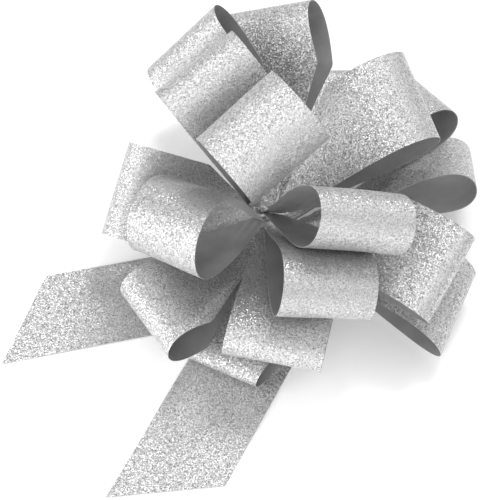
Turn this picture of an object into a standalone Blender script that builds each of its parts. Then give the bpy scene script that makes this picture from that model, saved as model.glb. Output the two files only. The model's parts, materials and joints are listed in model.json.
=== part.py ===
"""Pull-string gift bow: ribbon loops and tails gathered on a stack of welded necks."""
import math

import bmesh
import bpy
import numpy as np
from mathutils import Vector

MM = 0.001
RIBBON_WIDTH = 50.0       # two inch ribbon
STRIP = 222.0             # ribbon between two welds, before each loop's own share
THICKNESS = 0.5
NECK_WIDTH = 7.0          # ribbon left between the two edge notches at a weld
NECK_REACH = 9.0          # from the stack's axis to where the loop opens
NECK_END = 6.0            # radius at which the loops' necks end
LEG_GAP = 0.5             # half the space between a loop's two legs at its neck
SLANT = 0.8               # growth of the half width past the neck
STACK_TOP = 22.0
STACK_LEAN = 13.0         # sideways shift of the stack's foot
RING_STEPS = 26
WIDTH_STEPS = 3
TAIL_STEPS = 10

WELDS = 10
WELD_RADIUS = 4.0
WELD_THICK = 1.0
WELD_PITCH = 2.45
SLOT_X = 1.5
SLOT_Y = 2.1
BASE_LEFT = -4.4
BASE_RIGHT = 18.5
BASE_HALF = 4.4
PULL_WIDTH = 3.0
PULL_THICK = 0.4
PULL_OFFSET = 0.55
KNOT_RADIUS = 2.6

# aim and side: azimuth and lift in degrees; bulge, height and lengths in millimetres
LOOPS = {
    "low_loop_front_left": dict(aim=(235, 3), side=(334, 0), bulge=13, z=3.2, pinch=4, share=0.83),
    "low_loop_front_right": dict(aim=(315, 5.3), side=(66, 9), bulge=22, z=3.6, pinch=4, share=1.02, slant=0.7),
    "low_loop_right": dict(aim=(3, 17), side=(88, -28), bulge=22, z=7.2, pinch=4, share=0.96, slant=0.6),
    "low_loop_right_rear": dict(aim=(28, 17.5), side=(114, -23), bulge=21, z=9, pinch=4, share=1.0, slant=0.6),
    "low_loop_rear_left": dict(aim=(124, 12), side=(34, 0), bulge=20, z=7.5, pinch=4, share=0.93, slant=0.6),
    "low_loop_rear": dict(aim=(86, 6), side=(2, 0), bulge=20, z=3, pinch=4, share=0.93, slant=0.6),
    "low_loop_left": dict(aim=(216, 12), side=(301, 4), bulge=22, z=8, pinch=4, share=0.88, slant=0.65),
    "middle_loop_front": dict(aim=(259, 11.5), side=(352, -6), bulge=18, z=17, pinch=4, share=0.9),
    "middle_loop_front_right": dict(aim=(314, 13.6), side=(58, 21), bulge=18, z=10.7, notch=2, pinch=4, share=0.99, slant=0.7),
    "middle_loop_right": dict(aim=(13, 27), side=(113, 22), bulge=34, z=17.5, pinch=2, share=0.94),
    "middle_loop_rear": dict(aim=(102, 33), side=(351, 22), bulge=28, z=14, pinch=4, share=1.03, slant=0.6),
    "middle_loop_rear_left": dict(aim=(136, 35), side=(22, 40), bulge=28, z=18, pinch=4, share=0.92),
    "middle_loop_left": dict(aim=(178, 22), side=(69, 36), bulge=24, z=10, notch=28, pinch=4, share=0.80, slant=0.5),
    "top_loop_rear_left": dict(aim=(166, 58), side=(32, 22), bulge=27, z=20, pinch=3, share=0.9),
    "top_loop_centre": dict(aim=(245, 65), side=(35, 24), bulge=42, z=25, pinch=2.5, share=0.97),
    "top_loop_right": dict(aim=(297, 47), side=(8, -18), bulge=31, z=22, pinch=1.7, share=0.93),
    "top_loop_left": dict(aim=(242, 40), side=(139, -21), bulge=40, z=18, pinch=1.2, share=0.97),
    "top_loop_front": dict(aim=(276, 29), side=(10, -18), bulge=29, z=17, pinch=2, share=0.95),
}
# azimuth of the edge beside the neck, and the lengths of the two edges to the slant cut
TAILS = {
    "left_tail": dict(azimuth=193.0, near=118.0, far=149.0, rise=1.5),
    "front_tail": dict(azimuth=244.5, near=178.0, far=147.0, rise=2.0),
}

RIBBON_COLOUR = (0.60, 0.60, 0.61, 1.0)
WELD_COLOUR = (0.42, 0.42, 0.43, 1.0)
PULL_COLOUR = (0.75, 0.75, 0.76, 1.0)


def clear_file():
    for thing in list(bpy.data.objects):
        bpy.data.objects.remove(thing, do_unlink=True)


def material(name, colour, roughness, metallic):
    mat = bpy.data.materials.new(name)
    mat.use_nodes = True
    shader = mat.node_tree.nodes["Principled BSDF"]
    shader.inputs["Base Color"].default_value = colour
    shader.inputs["Roughness"].default_value = roughness
    shader.inputs["Metallic"].default_value = metallic
    mat.diffuse_color = colour
    return mat


def direction(azimuth, lift):
    a, e = math.radians(azimuth), math.radians(lift)
    return Vector((math.cos(a) * math.cos(e), math.sin(a) * math.cos(e), math.sin(e)))


def axis_point(z):
    return Vector((STACK_LEAN * (STACK_TOP - z) / STACK_TOP, 0.0, z))


def teardrop(length, bulge, pinch, turns):
    """A closed loop that leaves its root as a narrow neck; pinch makes the neck longer."""
    peak = math.sqrt(1 - (pinch / (pinch + 2)) ** 2) * ((pinch + 1) / (pinch + 2)) ** (pinch / 2)
    x = length * (1 - np.cos(turns)) / 2
    y = bulge / 2 / peak * np.sin(turns) * np.abs(np.sin(turns / 2)) ** pinch
    return x, y


def girth(x, y):
    return float(np.hypot(np.diff(x), np.diff(y)).sum())


def length_for(bulge, pinch, strip):
    """Loop length whose way round equals the ribbon it is made from."""
    turns = np.linspace(0, 2 * math.pi, 241)
    low, high = 10.0, strip / 2
    for _ in range(40):
        middle = (low + high) / 2
        if girth(*teardrop(middle, bulge, pinch, turns)) < strip:
            low = middle
        else:
            high = middle
    return low


def loop_profile(spec, reach):
    """Points round the loop, evenly spaced, with their distance along the ribbon from the neck's end."""
    strip = STRIP * spec["share"]
    length = length_for(spec["bulge"], spec["pinch"], strip)
    turns = np.linspace(0, 2 * math.pi, 721)
    x, y = teardrop(length, spec["bulge"], spec["pinch"], turns)
    y = np.where(turns < math.pi, np.maximum(y, LEG_GAP), np.minimum(y, -LEG_GAP))
    x = np.concatenate([[-reach], x, [-reach]])
    y = np.concatenate([[LEG_GAP], y, [-LEG_GAP]])
    along = np.concatenate([[0.0], np.cumsum(np.hypot(np.diff(x), np.diff(y)))])
    even = np.linspace(0.0, along[-1], RING_STEPS)
    from_end = np.minimum(even, along[-1] - even)
    return np.interp(even, along, x), np.interp(even, along, y), from_end


def half_width(from_end, reach, slant):
    """The ribbon is gathered at the neck and its notched edges spread beyond it."""
    if from_end < reach:
        return NECK_WIDTH / 2 - 0.5 * (reach - from_end)
    return NECK_WIDTH / 2 + slant * (from_end - reach)


def loop_frame(spec):
    """Unit vectors of a loop and how far its neck reaches back towards the stack."""
    u = direction(*spec["aim"])
    w = direction(*spec["side"])
    v = w.cross(u).normalized()
    spread = math.hypot(u.x + STACK_LEAN / STACK_TOP * u.z, u.y)
    reach = min(4.0, max(0.0, NECK_REACH - NECK_END / spread))
    return u, v, w, reach


def loop_hinge(spec):
    """Point on the inner end of a loop's neck."""
    u, v, w, reach = loop_frame(spec)
    return axis_point(spec["z"]) + u * (NECK_REACH - reach)


def loop_rows(spec):
    u, v, w, reach = loop_frame(spec)
    root = axis_point(spec["z"]) + u * NECK_REACH
    notch = spec.get("notch", NECK_WIDTH / 2)
    slant = spec.get("slant", SLANT)
    rows = []
    for x, y, from_end in zip(*loop_profile(spec, reach)):
        half = half_width(from_end, reach, slant)
        low = max(-notch, -half)
        high = min(RIBBON_WIDTH - notch, half)
        row = []
        for j in range(WIDTH_STEPS + 1):
            q = low + (high - low) * j / WIDTH_STEPS
            row.append(root + u * float(x) + v * float(y) + w * q)
        rows.append(row)
    return rows


def tail_rows(spec):
    u = direction(spec["azimuth"], 0.0)
    w = Vector((-u.y, u.x, 0.0))
    rows = []
    for i in range(TAIL_STEPS + 1):
        row = []
        for j in range(WIDTH_STEPS + 1):
            q = RIBBON_WIDTH * j / WIDTH_STEPS
            start = max(0.0, q - NECK_WIDTH) / SLANT + 6.0
            end = spec["near"] + (spec["far"] - spec["near"]) * q / RIBBON_WIDTH
            t = start + (end - start) * i / TAIL_STEPS
            lift = THICKNESS / 2 + spec["rise"] * math.exp(-t / 25.0)
            row.append(u * t + w * q + Vector((0, 0, lift)))
        rows.append(row)
    return rows


def band(name, rows, origin, closed, offset, mat, home):
    """A ribbon of even thickness over rows of points; the object's origin is its joint."""
    mesh = bpy.data.meshes.new(name)
    bm = bmesh.new()
    grid = []
    for row in rows:
        grid.append([bm.verts.new((point - origin) * MM) for point in row])
    if closed:
        grid.append(grid[0])
    for one, two in zip(grid[:-1], grid[1:]):
        for j in range(len(one) - 1):
            bm.faces.new((one[j], one[j + 1], two[j + 1], two[j]))
    bmesh.ops.recalc_face_normals(bm, faces=bm.faces)
    bm.to_mesh(mesh)
    bm.free()
    thing = bpy.data.objects.new(name, mesh)
    thing.location = origin * MM
    mesh.materials.append(mat)
    home.objects.link(thing)
    shell = thing.modifiers.new("ribbon", "SOLIDIFY")
    shell.thickness = THICKNESS * MM
    shell.offset = offset
    shell.use_even_offset = True
    return thing


def ring_points(left, right, half, steps=8):
    """A long round outline between two centres on the X axis."""
    points = []
    spans = max(1, round((right - left - 2 * half) / 1.5))
    for k in range(steps + 1):
        a = -math.pi / 2 + math.pi * k / steps
        points.append((right - half + half * math.cos(a), half * math.sin(a)))
    for k in range(1, spans):
        points.append((right - half + (left - right + 2 * half) * k / spans, half))
    for k in range(steps + 1):
        a = math.pi / 2 + math.pi * k / steps
        points.append((left + half + half * math.cos(a), half * math.sin(a)))
    for k in range(1, spans):
        points.append((left + half + (right - left - 2 * half) * k / spans, -half))
    clean = [points[0]]
    for point in points[1:]:
        if math.hypot(point[0] - clean[-1][0], point[1] - clean[-1][1]) > 0.01:
            clean.append(point)
    if math.hypot(clean[0][0] - clean[-1][0], clean[0][1] - clean[-1][1]) < 0.01:
        clean.pop()
    return clean


def slot_point(x, y, centre):
    """Where the line from the slot's centre meets the slot's edge."""
    dx, dy = x - centre, y
    reach = max(abs(dx) / SLOT_X, abs(dy) / SLOT_Y)
    return centre + dx / reach, dy / reach


def weld_plate(name, left, right, half, centre, low, mat, home):
    """One welded neck: a small plate with a slot for the two pull ribbons."""
    outer = ring_points(left, right, half)
    for sx in (-1, 1):
        for sy in (-1, 1):
            corner = math.atan2(sy * SLOT_Y, sx * SLOT_X)
            near = min(range(len(outer)), key=lambda i: abs(angle_gap(outer[i], centre, corner)))
            outer[near] = on_ray(outer, near, centre, corner)
    inner = [slot_point(x, y, centre) for x, y in outer]
    mesh = bpy.data.meshes.new(name)
    bm = bmesh.new()
    rings = []
    for outline, z in ((outer, low), (outer, low + WELD_THICK), (inner, low + WELD_THICK), (inner, low)):
        rings.append([bm.verts.new(((x - centre) * MM, y * MM, (z - low) * MM)) for x, y in outline])
    for one, two in zip(rings, rings[1:] + rings[:1]):
        for i in range(len(one)):
            k = (i + 1) % len(one)
            bm.faces.new((one[i], one[k], two[k], two[i]))
    bmesh.ops.recalc_face_normals(bm, faces=bm.faces)
    bm.to_mesh(mesh)
    bm.free()
    thing = bpy.data.objects.new(name, mesh)
    thing.location = Vector((centre, 0.0, low)) * MM
    mesh.materials.append(mat)
    home.objects.link(thing)
    return thing


def angle_gap(point, centre, angle):
    a = math.atan2(point[1], point[0] - centre) - angle
    return (a + math.pi) % (2 * math.pi) - math.pi


def on_ray(outline, i, centre, angle):
    """The outline point turned onto the ray through a slot corner, so the corner stays square."""
    x, y = outline[i]
    radius = math.hypot(x - centre, y)
    return centre + radius * math.cos(angle), radius * math.sin(angle)


def pull_ribbon(name, side, mat, home):
    """A narrow inner ribbon threaded up the leaning stack."""
    low, high = 0.4, weld_height(WELDS - 1) + WELD_THICK + 1.2
    lean = -STACK_LEAN / STACK_TOP
    centre_low = axis_point(low).x + side * PULL_OFFSET
    mesh = bpy.data.meshes.new(name)
    bm = bmesh.new()
    steps = 4
    rings = []
    for k in range(steps + 1):
        z = low + (high - low) * k / steps
        x = centre_low + lean * (z - low)
        ring = []
        for dx, dy in ((-1, -1), (1, -1), (1, 1), (-1, 1)):
            point = Vector((x + dx * PULL_THICK / 2, dy * PULL_WIDTH / 2, z))
            ring.append(bm.verts.new((point - Vector((centre_low, 0, low))) * MM))
        rings.append(ring)
    for one, two in zip(rings[:-1], rings[1:]):
        for i in range(4):
            k = (i + 1) % 4
            bm.faces.new((one[i], one[k], two[k], two[i]))
    bm.faces.new(rings[0])
    bm.faces.new(rings[-1])
    bmesh.ops.recalc_face_normals(bm, faces=bm.faces)
    bm.to_mesh(mesh)
    bm.free()
    thing = bpy.data.objects.new(name, mesh)
    thing.location = Vector((centre_low, 0, low)) * MM
    mesh.materials.append(mat)
    home.objects.link(thing)
    return thing


def weld_height(i):
    return i * WELD_PITCH


def knot(name, mat, home):
    """The knot that stops the pull ribbons above the top neck."""
    z = weld_height(WELDS - 1) + WELD_THICK + 1.5 + 1.3
    centre = axis_point(z)
    mesh = bpy.data.meshes.new(name)
    bm = bmesh.new()
    bmesh.ops.create_icosphere(bm, subdivisions=2, radius=KNOT_RADIUS * MM)
    for vert in bm.verts:
        vert.co.z *= 0.5
        vert.co.x *= 0.8
    bm.to_mesh(mesh)
    bm.free()
    thing = bpy.data.objects.new(name, mesh)
    thing.location = centre * MM
    mesh.materials.append(mat)
    home.objects.link(thing)
    return thing


def build_welds(mat, home):
    weld_plate("base_neck", BASE_LEFT, BASE_RIGHT, BASE_HALF, axis_point(0.0).x, 0.0, mat, home)
    for i in range(1, WELDS):
        low = weld_height(i)
        x = axis_point(low + WELD_THICK / 2).x
        weld_plate("neck_%02d" % (i + 1), x - WELD_RADIUS, x + WELD_RADIUS, WELD_RADIUS, x, low, mat, home)


def main():
    clear_file()
    home = bpy.data.collections.new("gift_bow")
    bpy.context.scene.collection.children.link(home)
    ribbon = material("silver_ribbon", RIBBON_COLOUR, 0.45, 0.6)
    weld = material("welded_neck", WELD_COLOUR, 0.5, 0.4)
    pull = material("pull_ribbon", PULL_COLOUR, 0.35, 0.3)
    for name, spec in LOOPS.items():
        band(name, loop_rows(spec), loop_hinge(spec), True, 0.0, ribbon, home)
    for name, spec in TAILS.items():
        rows = tail_rows(spec)
        band(name, rows, rows[0][0], False, 0.0, ribbon, home)
    build_welds(weld, home)
    pull_ribbon("pull_ribbon_1", -1, pull, home)
    pull_ribbon("pull_ribbon_2", 1, pull, home)
    knot("pull_knot", pull, home)


main()
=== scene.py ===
"""Looks of the gift bow: glitter ribbon loops, satin inside, on a pale table."""

import json
import math

import bpy
import numpy as np
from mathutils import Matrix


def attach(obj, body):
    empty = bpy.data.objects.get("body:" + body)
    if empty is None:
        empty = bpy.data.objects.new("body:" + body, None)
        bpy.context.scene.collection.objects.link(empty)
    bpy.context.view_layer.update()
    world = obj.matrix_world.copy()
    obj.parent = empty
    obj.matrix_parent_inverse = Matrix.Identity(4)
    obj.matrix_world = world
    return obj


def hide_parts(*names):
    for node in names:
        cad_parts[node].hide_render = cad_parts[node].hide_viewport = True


MM = 0.001
RIBBON_WIDTH = 50.0
STRIP = 222.0
RIBBON_THICK = 0.28
NECK_WIDTH = 7.0
NECK_REACH = 9.0
NECK_END = 6.0
LEG_GAP = 0.5
SLANT = 0.8
STACK_TOP = 22.0
STACK_LEAN = 13.0
RING_STEPS = 132
WIDTH_STEPS = 18
TAIL_STEPS = 80
PLEAT_HEIGHT = 0.5        # small pleats along the ribbon, side by side across its width
PLEAT_START = 8.0         # they build up over this length from the neck
PLEAT_FADE = 16.0         # and die away over this one
PLEAT_RATE = 1.25
SWAY_HEIGHT = 0.25        # slight waviness of the whole ribbon
SWAY_START = 40.0         # it builds up over this length
PHASE_STEP = 1.7          # shifts the pleats and sway from one loop to the next
TAIL_START = 6.0          # a tail starts this far from the first neck's centre line
TAIL_SETTLE = 25.0        # its rise above the table dies away over this length
TAIL_WAVE = 0.35

WELDS = 10
WELD_RADIUS = 4.0
WELD_PITCH = 2.45
WELD_THICK = 1.0
WELD_MARGIN = 0.12        # gap to the solid's faces, before the ripple is added
RIPPLE = 0.10
SLOT_X = 1.5
SLOT_Y = 2.1
BASE_LEFT = -4.4
BASE_RIGHT = 18.5
BASE_HALF = 4.4

STRAP_HALF = 1.4          # half width of an inner pull ribbon
STRAP_OFFSET = 0.55
STRAP_THICK = 0.3
KNOT_RISE = 3.8           # from the top neck's lower face to the knot's centre

FLAKE_SCALE = 2150.0      # cells of the pattern in a metre
FLAKE_TILT = 0.8
SATIN_TONE = 0.38
EDGE_TONE = 0.5
WELD_TONE = 0.42
PULL_TONE = 0.30
WORLD_LIGHT = 0.84
KEY_LIGHT = 6.5
FILL_LIGHT = 7.0
SIDE_LIGHT = 8.0
LENS = 142.1
SENSOR = 36.0
SHIFT_X = -0.042
SHIFT_Y = -0.076
CAMERA_LIFT = 52.0        # degrees above the table
CAMERA_DISTANCE = 1.05    # metres
CAMERA_AIM = 0.022        # height in metres that the camera is turned to
LIGHT_AIM = (0, 0, 0.05)

# aim and side: azimuth and lift in degrees; bulge, height and lengths in millimetres
LOOPS = {
    "low_loop_front_left": dict(aim=(235, 3), side=(334, 0), bulge=13, z=3.2, pinch=4, share=0.83),
    "low_loop_front_right": dict(
        aim=(315, 5.3), side=(66, 9),
        bulge=22, z=3.6, pinch=4, share=1.02, slant=0.7,
    ),
    "low_loop_right": dict(
        aim=(3, 17), side=(88, -28),
        bulge=22, z=7.2, pinch=4, share=0.96, slant=0.6,
    ),
    "low_loop_right_rear": dict(
        aim=(28, 17.5), side=(114, -23),
        bulge=21, z=9, pinch=4, share=1.0, slant=0.6,
    ),
    "low_loop_rear_left": dict(
        aim=(124, 12), side=(34, 0),
        bulge=20, z=7.5, pinch=4, share=0.93, slant=0.6,
    ),
    "low_loop_rear": dict(aim=(86, 6), side=(2, 0), bulge=20, z=3, pinch=4, share=0.93, slant=0.6),
    "low_loop_left": dict(aim=(216, 12), side=(301, 4), bulge=22, z=8, pinch=4, share=0.88, slant=0.65),
    "middle_loop_front": dict(aim=(259, 11.5), side=(352, -6), bulge=18, z=17, pinch=4, share=0.9),
    "middle_loop_front_right": dict(
        aim=(314, 13.6), side=(58, 21),
        bulge=18, z=10.7, notch=2, pinch=4, share=0.99, slant=0.7,
    ),
    "middle_loop_right": dict(aim=(13, 27), side=(113, 22), bulge=34, z=17.5, pinch=2, share=0.94),
    "middle_loop_rear": dict(
        aim=(102, 33), side=(351, 22),
        bulge=28, z=14, pinch=4, share=1.03, slant=0.6,
    ),
    "middle_loop_rear_left": dict(aim=(136, 35), side=(22, 40), bulge=28, z=18, pinch=4, share=0.92),
    "middle_loop_left": dict(
        aim=(178, 22), side=(69, 36),
        bulge=24, z=10, notch=28, pinch=4, share=0.80, slant=0.5,
    ),
    "top_loop_rear_left": dict(aim=(166, 58), side=(32, 22), bulge=27, z=20, pinch=3, share=0.9),
    "top_loop_centre": dict(aim=(245, 65), side=(35, 24), bulge=42, z=25, pinch=2.5, share=0.97),
    "top_loop_right": dict(aim=(297, 47), side=(8, -18), bulge=31, z=22, pinch=1.7, share=0.93),
    "top_loop_left": dict(aim=(242, 40), side=(139, -21), bulge=40, z=18, pinch=1.2, share=0.97),
    "top_loop_front": dict(aim=(276, 29), side=(10, -18), bulge=29, z=17, pinch=2, share=0.95),
}
# azimuth of the edge beside the neck, and the lengths of the two edges to the slant cut
TAILS = {
    "left_tail": dict(azimuth=193.0, near=118.0, far=149.0, rise=1.5),
    "front_tail": dict(azimuth=244.5, near=178.0, far=147.0, rise=2.0),
}


def unit(v):
    """The same direction with length one."""
    return v / np.linalg.norm(v)


def direction(azimuth, lift):
    a, e = math.radians(azimuth), math.radians(lift)
    return np.array([math.cos(a) * math.cos(e), math.sin(a) * math.cos(e), math.sin(e)])


def axis_point(z):
    return np.array([STACK_LEAN * (STACK_TOP - z) / STACK_TOP, 0.0, z])


# ---- materials -------------------------------------------------------------


def new_material(name):
    mat = bpy.data.materials.new(name)
    mat.use_nodes = True
    return mat, mat.node_tree.nodes, mat.node_tree.links, mat.node_tree.nodes["Principled BSDF"]


def node(nodes, kind, **inputs):
    made = nodes.new(kind)
    for key, value in inputs.items():
        made.inputs[key.replace("_", " ")].default_value = value
    return made


def ramp(nodes, stops):
    made = nodes.new("ShaderNodeValToRGB")
    elements = made.color_ramp.elements
    elements[0].position, elements[0].color = stops[0][0], (*[stops[0][1]] * 3, 1)
    elements[1].position, elements[1].color = stops[-1][0], (*[stops[-1][1]] * 3, 1)
    for place, value in stops[1:-1]:
        extra = elements.new(place)
        extra.color = (value, value, value, 1)
    return made


def glitter_material():
    """Fine flakes, each tilted its own way and with its own brightness."""
    mat, nodes, links, shader = new_material("silver_glitter")
    place = nodes.new("ShaderNodeTexCoord")
    flakes = node(nodes, "ShaderNodeTexVoronoi", Scale=FLAKE_SCALE)
    links.new(place.outputs["Object"], flakes.inputs["Vector"])
    grey = nodes.new("ShaderNodeSeparateColor")
    links.new(flakes.outputs["Color"], grey.inputs["Color"])
    tone = ramp(nodes, [(0.0, 0.26), (0.35, 0.54), (0.75, 0.72), (1.0, 1.0)])
    links.new(grey.outputs["Red"], tone.inputs["Fac"])
    links.new(tone.outputs["Color"], shader.inputs["Base Color"])
    rough = ramp(nodes, [(0.0, 0.28), (1.0, 0.62)])
    links.new(grey.outputs["Green"], rough.inputs["Fac"])
    links.new(rough.outputs["Color"], shader.inputs["Roughness"])
    shader.inputs["Metallic"].default_value = 0.65
    shape = nodes.new("ShaderNodeNewGeometry")
    centred = node(nodes, "ShaderNodeVectorMath")
    centred.operation = "SUBTRACT"
    centred.inputs[1].default_value = (0.5, 0.5, 0.5)
    links.new(flakes.outputs["Color"], centred.inputs[0])
    tilt = node(nodes, "ShaderNodeVectorMath")
    tilt.operation = "SCALE"
    tilt.inputs["Scale"].default_value = FLAKE_TILT
    links.new(centred.outputs[0], tilt.inputs[0])
    total = nodes.new("ShaderNodeVectorMath")
    total.operation = "ADD"
    links.new(shape.outputs["Normal"], total.inputs[0])
    links.new(tilt.outputs[0], total.inputs[1])
    normal = nodes.new("ShaderNodeVectorMath")
    normal.operation = "NORMALIZE"
    links.new(total.outputs[0], normal.inputs[0])
    links.new(normal.outputs[0], shader.inputs["Normal"])
    return mat


def satin_material(name, colour, roughness):
    """Smooth satin; a ribbon, which has a UV map, also gets fine lines across its width."""
    mat, nodes, links, shader = new_material(name)
    place = nodes.new("ShaderNodeTexCoord")
    lines = node(nodes, "ShaderNodeTexWave", Scale=420.0, Distortion=1.2, Detail=2.0)
    links.new(place.outputs["UV"], lines.inputs["Vector"])
    cloud = node(nodes, "ShaderNodeTexNoise", Scale=90.0, Detail=3.0)
    links.new(place.outputs["Object"], cloud.inputs["Vector"])
    tone = ramp(nodes, [(0.3, colour * 0.86), (0.7, colour * 1.1)])
    links.new(cloud.outputs["Fac"], tone.inputs["Fac"])
    links.new(tone.outputs["Color"], shader.inputs["Base Color"])
    bump = node(nodes, "ShaderNodeBump", Strength=0.12, Distance=0.0002)
    links.new(lines.outputs["Color"], bump.inputs["Height"])
    links.new(bump.outputs["Normal"], shader.inputs["Normal"])
    shader.inputs["Roughness"].default_value = roughness
    shader.inputs["Metallic"].default_value = 0.25
    shader.inputs["Sheen Weight"].default_value = 0.15
    return mat


# ---- ribbon shapes ---------------------------------------------------------


def teardrop(length, bulge, pinch, turns):
    """Outline of a closed loop with a narrow root; a higher pinch keeps it narrow for longer."""
    peak = math.sqrt(1 - (pinch / (pinch + 2)) ** 2) * ((pinch + 1) / (pinch + 2)) ** (pinch / 2)
    x = length * (1 - np.cos(turns)) / 2
    y = bulge / 2 / peak * np.sin(turns) * np.abs(np.sin(turns / 2)) ** pinch
    return x, y


def girth(x, y):
    return float(np.hypot(np.diff(x), np.diff(y)).sum())


def length_for(bulge, pinch, strip):
    """The loop length at which the way round it is as long as the strip."""
    turns = np.linspace(0, 2 * math.pi, 241)
    low, high = 10.0, strip / 2
    for _ in range(40):
        middle = (low + high) / 2
        if girth(*teardrop(middle, bulge, pinch, turns)) < strip:
            low = middle
        else:
            high = middle
    return low


def loop_profile(spec, reach):
    """Points evenly spaced round the loop, and how far each is from the ribbon's nearer end."""
    strip = STRIP * spec["share"]
    length = length_for(spec["bulge"], spec["pinch"], strip)
    turns = np.linspace(0, 2 * math.pi, 1441)
    x, y = teardrop(length, spec["bulge"], spec["pinch"], turns)
    y = np.where(turns < math.pi, np.maximum(y, LEG_GAP), np.minimum(y, -LEG_GAP))
    x = np.concatenate([[-reach], x, [-reach]])
    y = np.concatenate([[LEG_GAP], y, [-LEG_GAP]])
    along = np.concatenate([[0.0], np.cumsum(np.hypot(np.diff(x), np.diff(y)))])
    even = np.linspace(0.0, along[-1], RING_STEPS)
    return np.interp(even, along, x), np.interp(even, along, y), np.minimum(even, along[-1] - even)


def half_width(from_end, reach, slant):
    """Half the width the notch leaves: a slight slant over the reach, then the loop's own."""
    if from_end < reach:
        return NECK_WIDTH / 2 - 0.5 * (reach - from_end)
    return NECK_WIDTH / 2 + slant * (from_end - reach)


def loop_frame(spec):
    u = direction(*spec["aim"])
    w = direction(*spec["side"])
    v = unit(np.cross(w, u))
    spread = math.hypot(u[0] + STACK_LEAN / STACK_TOP * u[2], u[1])
    reach = min(4.0, max(0.0, NECK_REACH - NECK_END / spread))
    return u, v, w, reach


def loop_rows(spec, phase):
    """Points of one loop: a row across the ribbon at each step round it, with pleats and sway."""
    u, v, w, reach = loop_frame(spec)
    root = axis_point(spec["z"]) + u * NECK_REACH
    notch = spec.get("notch", NECK_WIDTH / 2)
    slant = spec.get("slant", SLANT)
    xs, ys, ends = loop_profile(spec, reach)
    rows = np.zeros((RING_STEPS, WIDTH_STEPS + 1, 3))
    for i in range(RING_STEPS):
        half = half_width(ends[i], reach, slant)
        low = max(-notch, -half)
        high = min(RIBBON_WIDTH - notch, half)
        for j in range(WIDTH_STEPS + 1):
            q = low + (high - low) * j / WIDTH_STEPS
            past = max(0.0, ends[i] - reach)
            fold = PLEAT_HEIGHT * min(1.0, past / PLEAT_START) * math.exp(-past / PLEAT_FADE)
            sway = SWAY_HEIGHT * math.sin(0.11 * ends[i] + 0.09 * q + phase)
            sway *= min(1.0, past / SWAY_START)
            y = ys[i] + fold * math.sin(PLEAT_RATE * q + phase) + sway
            rows[i, j] = root + u * xs[i] + v * y + w * q
    return rows


def tail_rows(spec):
    """Points of one tail: slanted at both ends, coming down to the table with a slight wave."""
    u = direction(spec["azimuth"], 0.0)
    w = np.array([-u[1], u[0], 0.0])
    rows = np.zeros((TAIL_STEPS + 1, WIDTH_STEPS + 1, 3))
    for i in range(TAIL_STEPS + 1):
        for j in range(WIDTH_STEPS + 1):
            q = RIBBON_WIDTH * j / WIDTH_STEPS
            start = max(0.0, q - NECK_WIDTH) / SLANT + TAIL_START
            end = spec["near"] + (spec["far"] - spec["near"]) * q / RIBBON_WIDTH
            t = start + (end - start) * i / TAIL_STEPS
            lift = RIBBON_THICK + spec["rise"] * math.exp(-t / TAIL_SETTLE)
            wave = TAIL_WAVE * (1 - math.cos(t / 11.0 + spec["near"] * 0.1 + q * 0.03)) / 2
            rows[i, j] = u * t + w * q + np.array([0.0, 0.0, lift + wave])
    return rows


def surface_normals(rows, closed):
    along = np.roll(rows, -1, 0) - np.roll(rows, 1, 0) if closed else np.gradient(rows, axis=0)
    across = np.gradient(rows, axis=1)
    n = np.cross(across, along)
    return n / np.maximum(np.linalg.norm(n, axis=2, keepdims=True), 1e-9)


def ribbon(name, rows, closed, toward, mats):
    """A thin ribbon: its face side on the rows, its satin side one thickness behind."""
    count, width = rows.shape[0], rows.shape[1]
    n = surface_normals(rows, closed)
    middle = rows.reshape(-1, 3).mean(0)
    facing = toward(rows, n, middle)
    n = n * facing
    back = rows - n * RIBBON_THICK
    points = np.concatenate([rows.reshape(-1, 3), back.reshape(-1, 3)]) * MM
    shift = count * width
    faces, slots, smooth = [], [], []

    def at(i, j, side):
        return (i % count) * width + j + side * shift

    spans = count if closed else count - 1
    for i in range(spans):
        for j in range(width - 1):
            quad = (at(i, j, 0), at(i, j + 1, 0), at(i + 1, j + 1, 0), at(i + 1, j, 0))
            rear = (at(i, j, 1), at(i + 1, j, 1), at(i + 1, j + 1, 1), at(i, j + 1, 1))
            faces += [quad, rear] if facing > 0 else [quad[::-1], rear[::-1]]
            slots += [0, 1]
            smooth += [True, True]
        for j, way in ((0, 1), (width - 1, -1)):
            rim = (at(i, j, 0), at(i + 1, j, 0), at(i + 1, j, 1), at(i, j, 1))
            faces.append(rim if way * facing > 0 else rim[::-1])
            slots.append(2)
            smooth.append(False)
    if not closed:
        for i, way in ((0, -1), (count - 1, 1)):
            for j in range(width - 1):
                rim = (at(i, j, 0), at(i, j + 1, 0), at(i, j + 1, 1), at(i, j, 1))
                faces.append(rim if way * facing > 0 else rim[::-1])
                slots.append(2)
                smooth.append(False)
    return make_mesh(name, points, faces, slots, smooth, mats, width)


def make_mesh(name, points, faces, slots, smooth, mats, width=None):
    mesh = bpy.data.meshes.new(name)
    mesh.from_pydata([tuple(p) for p in points], [], faces)
    for mat in mats:
        mesh.materials.append(mat)
    mesh.polygons.foreach_set("material_index", slots)
    mesh.polygons.foreach_set("use_smooth", smooth)
    if width:
        layer = mesh.uv_layers.new(name="UVMap")
        half = len(points) // 2
        for loop in mesh.loops:
            k = loop.vertex_index % half
            layer.data[loop.index].uv = ((k // width) * 0.0017, (k % width) * 0.0028)
    flat = {}
    for poly in mesh.polygons:
        for key in poly.edge_keys:
            flat.setdefault(key, set()).add(poly.material_index)
    for edge in mesh.edges:
        if len(flat[tuple(sorted(edge.vertices))]) > 1:
            edge.use_edge_sharp = True
    mesh.update()
    thing = bpy.data.objects.new(name, mesh)
    bpy.context.scene.collection.objects.link(thing)
    return thing


def outward(rows, n, middle):
    away = rows - middle
    return 1.0 if float((away * n).sum()) > 0 else -1.0


def upward(rows, n, middle):
    return 1.0 if float(n[..., 2].sum()) > 0 else -1.0


# ---- core: welded necks, pull ribbons, knot --------------------------------


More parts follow.
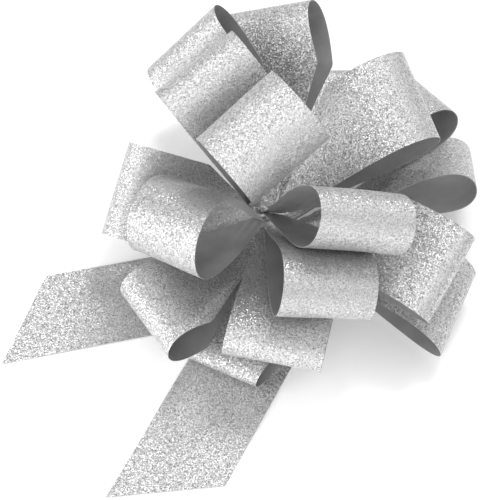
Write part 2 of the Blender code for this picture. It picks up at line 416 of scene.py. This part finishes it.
def slot_edge(angle):
    dx, dy = math.cos(angle), math.sin(angle)
    return 1.0 / max(abs(dx) / SLOT_X, abs(dy) / SLOT_Y)


def outer_edge(angle, left, right, half, centre):
    """Distance from the slot's centre to a long round outline in that direction."""
    low, high = 0.0, 60.0
    dx, dy = math.cos(angle), math.sin(angle)
    for _ in range(40):
        r = (low + high) / 2
        x, y = centre + r * dx, r * dy
        nearest = min(max(x, left + half), right - half)
        if math.hypot(x - nearest, y) < half:
            low = r
        else:
            high = r
    return low


def neck(name, left, right, half, centre, low, thick, mats):
    """A welded neck: crushed ribbon round the slot that the pull ribbons go through."""
    around, rings = 72, 6
    points, faces = [], []
    for side in (0, 1):
        for k in range(around):
            angle = 2 * math.pi * k / around
            inner = slot_edge(angle) + 0.05
            outer = outer_edge(angle, left, right, half, centre)
            for m in range(rings + 1):
                r = inner + (outer - inner) * m / rings
                ripple = RIPPLE * math.sin(9 * angle + low) * math.sin(math.pi * m / rings)
                z = low + WELD_MARGIN + (thick - 2 * WELD_MARGIN) * side + ripple * side
                points.append(((centre + r * math.cos(angle)) * MM, r * math.sin(angle) * MM, z * MM))
    shift = around * (rings + 1)
    for k in range(around):
        n = (k + 1) % around
        for m in range(rings):
            a, b = k * (rings + 1) + m, n * (rings + 1) + m
            faces.append((a, b, b + 1, a + 1))
            faces.append((a + shift, a + 1 + shift, b + 1 + shift, b + shift))
        for m in (0, rings):
            a, b = k * (rings + 1) + m, n * (rings + 1) + m
            rim = (a, a + shift, b + shift, b)
            faces.append(rim if m == 0 else rim[::-1])
    return make_mesh(name, points, faces, [0] * len(faces), [True] * len(faces), mats)


def strap(name, side, mats):
    """One inner pull ribbon going up the leaning stack."""
    low, high, steps, across = 0.5, WELD_PITCH * (WELDS - 1) + 2.1, 40, 6
    points, faces = [], []
    for face in (0, 1):
        for i in range(steps + 1):
            z = low + (high - low) * i / steps
            x = axis_point(z)[0] + side * STRAP_OFFSET + (face - 0.5) * STRAP_THICK
            for j in range(across + 1):
                y = -STRAP_HALF + 2 * STRAP_HALF * j / across
                points.append((x * MM, y * MM, z * MM))
    shift = (steps + 1) * (across + 1)
    for i in range(steps):
        for j in range(across):
            a = i * (across + 1) + j
            b = a + across + 1
            faces.append((a, b, b + 1, a + 1))
            faces.append((a + shift, a + 1 + shift, b + 1 + shift, b + shift))
        for j in (0, across):
            a = i * (across + 1) + j
            b = a + across + 1
            rim = (a, a + shift, b + shift, b)
            faces.append(rim if j == 0 else rim[::-1])
    for i in (0, steps):
        for j in range(across):
            a = i * (across + 1) + j
            rim = (a, a + 1, a + 1 + shift, a + shift)
            faces.append(rim if i == 0 else rim[::-1])
    return make_mesh(name, points, faces, [0] * len(faces), [True] * len(faces), mats)


def knot(name, mats):
    """A small overhand knot in the pull ribbons."""
    z = WELD_PITCH * (WELDS - 1) + KNOT_RISE
    centre = axis_point(z)
    around, ring = 120, 10
    path = []
    for k in range(around):
        t = 2 * math.pi * k / around
        x = 0.40 * (math.sin(t) + 2 * math.sin(2 * t))
        y = 0.55 * (math.cos(t) - 2 * math.cos(2 * t))
        path.append(centre + np.array([x, y, -0.45 * math.sin(3 * t)]))
    path = np.array(path)
    points, faces = [], []
    for k in range(around):
        tangent = unit(path[(k + 1) % around] - path[k - 1])
        side = unit(np.cross(tangent, np.array([0.0, 0.0, 1.0])))
        rise = np.cross(side, tangent)
        for m in range(ring):
            a = 2 * math.pi * m / ring
            p = path[k] + side * 0.62 * math.cos(a) + rise * 0.36 * math.sin(a)
            points.append(tuple(p * MM))
    for k in range(around):
        n = (k + 1) % around
        for m in range(ring):
            o = (m + 1) % ring
            faces.append((k * ring + m, k * ring + o, n * ring + o, n * ring + m))
    return make_mesh(name, points, faces, [0] * len(faces), [True] * len(faces), mats)


# ---- scene -----------------------------------------------------------------


def area_light(name, place, size, power, aim):
    data = bpy.data.lights.new(name, "AREA")
    data.shape = "DISK"
    data.size = size
    data.energy = power
    lamp = bpy.data.objects.new(name, data)
    lamp.location = place
    away = np.array(place) - np.array(aim)
    yaw = math.atan2(away[1], away[0])
    tilt = math.acos(away[2] / np.linalg.norm(away))
    lamp.rotation_euler = (0.0, tilt, yaw)
    bpy.context.scene.collection.objects.link(lamp)


def build_stage():
    mat, _, _, shader = new_material("pale_table")
    shader.inputs["Base Color"].default_value = (0.93, 0.93, 0.93, 1)
    shader.inputs["Roughness"].default_value = 0.9
    shader.inputs["Emission Color"].default_value = (1, 1, 1, 1)
    shader.inputs["Emission Strength"].default_value = 0.14
    mesh = bpy.data.meshes.new("floor")
    mesh.from_pydata([(-3, -3, 0), (3, -3, 0), (3, 3, 0), (-3, 3, 0)], [], [(0, 1, 2, 3)])
    mesh.materials.append(mat)
    floor = bpy.data.objects.new("floor", mesh)
    floor.location = (0, 0, -0.0003)
    bpy.context.scene.collection.objects.link(floor)
    world = bpy.data.worlds.new("studio")
    world.use_nodes = True
    nodes, links = world.node_tree.nodes, world.node_tree.links
    back = nodes["Background"]
    place = nodes.new("ShaderNodeTexCoord")
    height = nodes.new("ShaderNodeSeparateXYZ")
    links.new(place.outputs["Generated"], height.inputs["Vector"])
    sky = ramp(nodes, [(0.0, 0.35), (0.35, 0.55), (1.0, 1.0)])
    links.new(height.outputs["Z"], sky.inputs["Fac"])
    links.new(sky.outputs["Color"], back.inputs["Color"])
    back.inputs["Strength"].default_value = WORLD_LIGHT
    bpy.context.scene.world = world
    area_light("key", (0.35, 0.6, 1.15), 0.45, KEY_LIGHT, LIGHT_AIM)
    area_light("fill", (-0.1, -1.1, 0.6), 0.9, FILL_LIGHT, LIGHT_AIM)
    area_light("side", (-1.2, -0.35, 0.55), 0.8, SIDE_LIGHT, LIGHT_AIM)
    bpy.context.scene.view_settings.view_transform = "Standard"


def build_camera():
    data = bpy.data.cameras.new("camera")
    data.lens = LENS
    data.sensor_width = SENSOR
    data.clip_start = 0.05
    data.shift_x = SHIFT_X
    data.shift_y = SHIFT_Y
    camera = bpy.data.objects.new("camera", data)
    lift = math.radians(CAMERA_LIFT)
    away, up = CAMERA_DISTANCE * math.cos(lift), CAMERA_DISTANCE * math.sin(lift)
    camera.location = (0, -away, CAMERA_AIM + up)
    camera.rotation_euler = (math.pi / 2 - lift, 0, 0)
    bpy.context.scene.collection.objects.link(camera)
    bpy.context.scene.camera = camera


def finish_piece(thing, name):
    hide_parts(name)
    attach(thing, BODY[name])


def build_ribbons(face, back, edge):
    for number, (name, spec) in enumerate(LOOPS.items()):
        rows = loop_rows(spec, PHASE_STEP * number)
        thing = ribbon("ribbon_" + name, rows, True, outward, [face, back, edge])
        finish_piece(thing, name)
    for name, spec in TAILS.items():
        rows = tail_rows(spec)
        thing = ribbon("ribbon_" + name, rows, False, upward, [face, back, edge])
        finish_piece(thing, name)


def build_core(weld, pull):
    for i in range(WELDS):
        low = WELD_PITCH * i
        name = "neck_%02d" % (i + 1) if i else "base_neck"
        centre = axis_point(low + WELD_THICK / 2)[0] if i else axis_point(0.0)[0]
        left, right, half = centre - WELD_RADIUS, centre + WELD_RADIUS, WELD_RADIUS
        if i == 0:
            left, right, half = BASE_LEFT, BASE_RIGHT, BASE_HALF
        thing = neck("crushed_" + name, left, right, half, centre, low, WELD_THICK, [weld])
        finish_piece(thing, name)
    for number, side in ((1, -1), (2, 1)):
        thing = strap("strap_%d" % number, side, [pull])
        finish_piece(thing, "pull_ribbon_%d" % number)
    finish_piece(knot("overhand_knot", [pull]), "pull_knot")


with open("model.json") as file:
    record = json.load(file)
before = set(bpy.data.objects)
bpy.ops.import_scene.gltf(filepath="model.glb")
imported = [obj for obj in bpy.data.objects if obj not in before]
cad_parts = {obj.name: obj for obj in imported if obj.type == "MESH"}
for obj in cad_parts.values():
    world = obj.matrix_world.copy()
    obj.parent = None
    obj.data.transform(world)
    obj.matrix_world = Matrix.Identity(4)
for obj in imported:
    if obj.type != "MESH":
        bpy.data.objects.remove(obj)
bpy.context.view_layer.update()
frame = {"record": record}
BODY = {n: b for b, members in frame["record"]["behaviour"]["bodies"].items() for n in members}
build_stage()
build_camera()
face = glitter_material()
back = satin_material("grey_satin", SATIN_TONE, 0.42)
edge = satin_material("cut_edge", EDGE_TONE, 0.5)
weld = satin_material("crushed_ribbon", WELD_TONE, 0.5)
pull = satin_material("pull_satin", PULL_TONE, 0.45)
build_ribbons(face, back, edge)
build_core(weld, pull)
